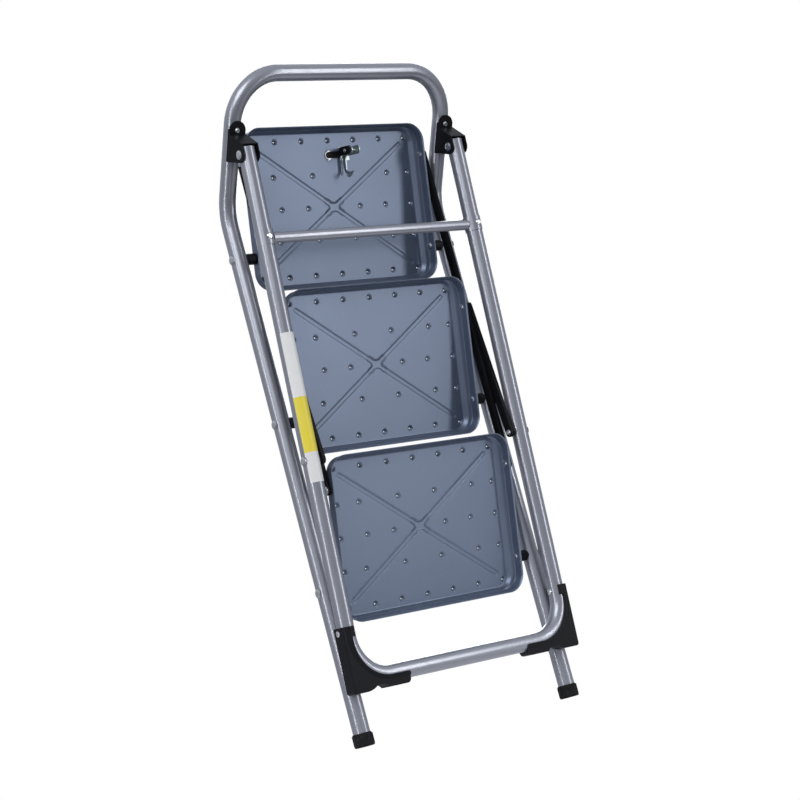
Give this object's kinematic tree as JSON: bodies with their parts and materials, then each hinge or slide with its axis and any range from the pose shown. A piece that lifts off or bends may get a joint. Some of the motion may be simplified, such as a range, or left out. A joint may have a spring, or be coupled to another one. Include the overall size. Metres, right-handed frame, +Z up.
{
  "type": "platform step ladder",
  "caption": "Folding steel step ladder with pressed treads, a platform, a tilted hand hoop and a hinged rear support frame, shown folded.",
  "frame": {"origin": "on the floor, under the middle of the folded ladder's bounding box; the front legs are 47.83 mm in front of it", "axes": "+Z up along the straight front legs, +Y to the rear frame's side, +X across to the left seen from the climbing side's back"},
  "size_m": [0.4298, 0.1432, 0.9821],
  "materials": {
    "frame_paint": "satin silver-grey powder coat",
    "tread_paint": "satin blue-grey powder coat on pressed sheet",
    "black_paint": "semi-matte black",
    "cap_rubber": "ribbed, matte",
    "black_plastic": "fine moulded grain",
    "latch_steel": "zinc plated",
    "spring_steel": "dark drawn wire",
    "rivet_zinc": "bright zinc",
    "label_film": "blank adhesive film"
  },
  "bodies": {
    "front_frame": {"front_frame_tube": "frame_paint", "foot_cap_left": "cap_rubber", "foot_cap_right": "cap_rubber", "hinge_bracket_left": "black_paint", "hinge_bracket_right": "black_paint", "bracket_rivets": "rivet_zinc", "hinge_rivets": "rivet_zinc", "tread_pivot_rivets": "rivet_zinc", "pivot_spacers": "black_plastic"},
    "rear_frame": {"rear_frame_tube": "frame_paint", "crossbar": "frame_paint", "crossbar_rivets": "rivet_zinc", "corner_shoe_left": "black_plastic", "corner_shoe_right": "black_plastic", "shoe_rivets": "rivet_zinc", "strut_rivets": "rivet_zinc", "strut_sleeves": "black_plastic", "blank_label": "label_film"},
    "lower_tread": {"lower_tread_pan": "tread_paint", "lower_link_rivets": "rivet_zinc", "lower_link_sleeves": "black_plastic"},
    "middle_tread": {"middle_tread_pan": "tread_paint", "middle_link_rivets": "rivet_zinc", "middle_link_sleeves": "black_plastic"},
    "platform": {"platform_pan": "tread_paint", "platform_link_rivets": "rivet_zinc", "platform_link_sleeves": "black_plastic", "latch_bracket": "latch_steel", "latch_spring": "spring_steel"},
    "latch": {"latch_pin": "rivet_zinc", "latch_hook": "latch_steel", "latch_lever": "black_plastic"},
    "left_link_bar": {"link_bar_left": "black_paint"},
    "left_strut": {"strut_left": "black_paint", "strut_stud_left": "rivet_zinc"},
    "right_link_bar": {"link_bar_right": "black_paint"},
    "right_strut": {"strut_right": "black_paint", "strut_stud_right": "rivet_zinc"}
  },
  "joints": [
    {"name": "platform_fold", "type": "hinge", "parent": "front_frame", "child": "platform", "pos_m": [0, -0.04783, 0.7235], "axis": [-1, 0, 0], "range_deg": [0, 55.77]},
    {"name": "middle_tread_fold", "type": "hinge", "parent": "front_frame", "child": "middle_tread", "pos_m": [0, -0.04783, 0.4735], "axis": [-1, 0, 0], "range_deg": [0, 55.79]},
    {"name": "lower_tread_fold", "type": "hinge", "parent": "front_frame", "child": "lower_tread", "pos_m": [0, -0.04783, 0.2235], "axis": [-1, 0, 0], "range_deg": [0, 55.79]},
    {"name": "rear_frame_fold", "type": "hinge", "parent": "front_frame", "child": "rear_frame", "pos_m": [0, 0.03667, 0.8535], "axis": [1, 0, 0], "range_deg": [0, 38.47]},
    {"name": "latch_turn", "type": "hinge", "parent": "platform", "child": "latch", "pos_m": [-0.02, -0.00688, 0.8705], "axis": [1, 0, 0], "range_deg": [0, 90]},
    {"name": "left_link_swing", "type": "hinge", "parent": "platform", "child": "left_link_bar", "pos_m": [0.171, -0.01468, 0.86158], "axis": [1, 0, 0], "range_deg": [0, 55.79]},
    {"name": "left_strut_swing", "type": "hinge", "parent": "rear_frame", "child": "left_strut", "pos_m": [0.178, 0.00136, 0.40489], "axis": [1, 0, 0], "range_deg": [0, 35.07]},
    {"name": "right_link_swing", "type": "hinge", "parent": "platform", "child": "right_link_bar", "pos_m": [-0.171, -0.01468, 0.86158], "axis": [1, 0, 0], "range_deg": [0, 55.79]},
    {"name": "right_strut_swing", "type": "hinge", "parent": "rear_frame", "child": "right_strut", "pos_m": [-0.178, 0.00136, 0.40489], "axis": [1, 0, 0], "range_deg": [0, 35.07]}
  ],
  "couplings": [
    {"joint": "middle_tread_fold", "follows": "platform_fold", "ratio": 1},
    {"joint": "lower_tread_fold", "follows": "platform_fold", "ratio": 1},
    {"joint": "rear_frame_fold", "follows": "platform_fold", "ratio": 0.68944},
    {"joint": "left_link_swing", "follows": "platform_fold", "ratio": 1},
    {"joint": "left_strut_swing", "follows": "platform_fold", "ratio": 0.62847},
    {"joint": "right_link_swing", "follows": "platform_fold", "ratio": 1},
    {"joint": "right_strut_swing", "follows": "platform_fold", "ratio": 0.62847}
  ]
}
